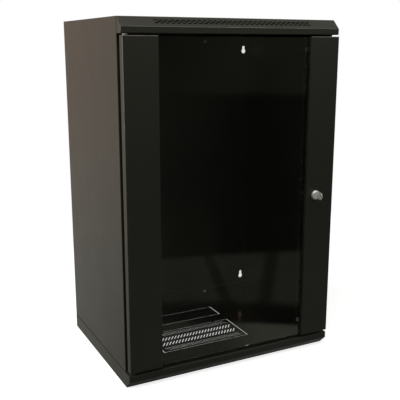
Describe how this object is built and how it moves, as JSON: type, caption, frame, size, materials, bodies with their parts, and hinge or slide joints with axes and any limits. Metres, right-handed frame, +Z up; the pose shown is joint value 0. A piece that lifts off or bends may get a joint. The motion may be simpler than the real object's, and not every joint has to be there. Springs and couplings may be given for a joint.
{
  "type": "rack cabinet",
  "caption": "Wall-mounted 19-inch rack cabinet of folded black steel sheet with a slotted hood, a dark glass door on sprung hinge pins and a keyed cam lock.",
  "frame": {"origin": "middle of the base's footprint, on its underside, half way between the hood's front face and the wall plane", "axes": "+Z up, +Y from the door to the wall, +X to the right of someone facing the door"},
  "size_m": [0.6, 0.492, 0.904],
  "materials": {
    "black_paint": "fine-textured powder coat",
    "zinc_steel": "zinc-plated",
    "dark_steel": "black oxide",
    "nickel": "nickel-plated",
    "chrome": "polished",
    "dark_glass": "tinted, toughened",
    "black_rubber": "matt",
    "white_nylon": "moulded"
  },
  "bodies": {
    "cabinet": {"top_hood": "black_paint", "roof_panel": "black_paint", "roof_cable_knockout": "black_paint", "base_tray": "black_paint", "floor_vent_knockout": "black_paint", "floor_cable_knockout": "black_paint", "left_side_panel": "black_paint", "right_side_panel": "black_paint", "back_panel": "black_paint", "back_panel_screws": "zinc_steel", "left_rack_rail": "black_paint", "right_rack_rail": "black_paint", "lower_left_rail_bracket": "black_paint", "lower_right_rail_bracket": "black_paint", "upper_left_rail_bracket": "black_paint", "upper_right_rail_bracket": "black_paint", "rail_bolts": "zinc_steel", "rail_nuts": "zinc_steel", "upper_hinge_bush": "white_nylon", "lower_hinge_pin": "dark_steel"},
    "door": {"hinge_stile": "black_paint", "lock_stile": "black_paint", "door_glass": "dark_glass", "left_glass_seal": "black_rubber", "right_glass_seal": "black_rubber", "glass_clips": "zinc_steel", "glass_clip_nuts": "zinc_steel", "hinge_pin_bracket": "black_paint", "lower_hinge_bush": "white_nylon", "lock_barrel": "chrome", "lock_nut": "zinc_steel"},
    "hinge_pin": {"upper_hinge_pin": "zinc_steel", "hinge_spring": "zinc_steel"},
    "lock": {"lock_plug": "chrome", "door_key": "nickel", "lock_cam": "zinc_steel", "cam_screw": "zinc_steel"}
  },
  "joints": [
    {"name": "door_hinge", "type": "hinge", "parent": "cabinet", "child": "door", "pos_m": [-0.288, -0.219, 0.455], "axis": [0, 0, -1], "range_deg": [0, 180]},
    {"name": "upper_pin_slide", "type": "slide", "parent": "door", "child": "hinge_pin", "axis": [0, 0, 1], "range_m": [-0.0105, 0], "stiffness_N_per_m": 300, "springref_m": 0.02, "deforming": ["hinge_spring"]},
    {"name": "lock_turn", "type": "hinge", "parent": "door", "child": "lock", "pos_m": [0.24, -0.215, 0.449], "axis": [0, -1, 0], "range_deg": [0, 90]}
  ]
}
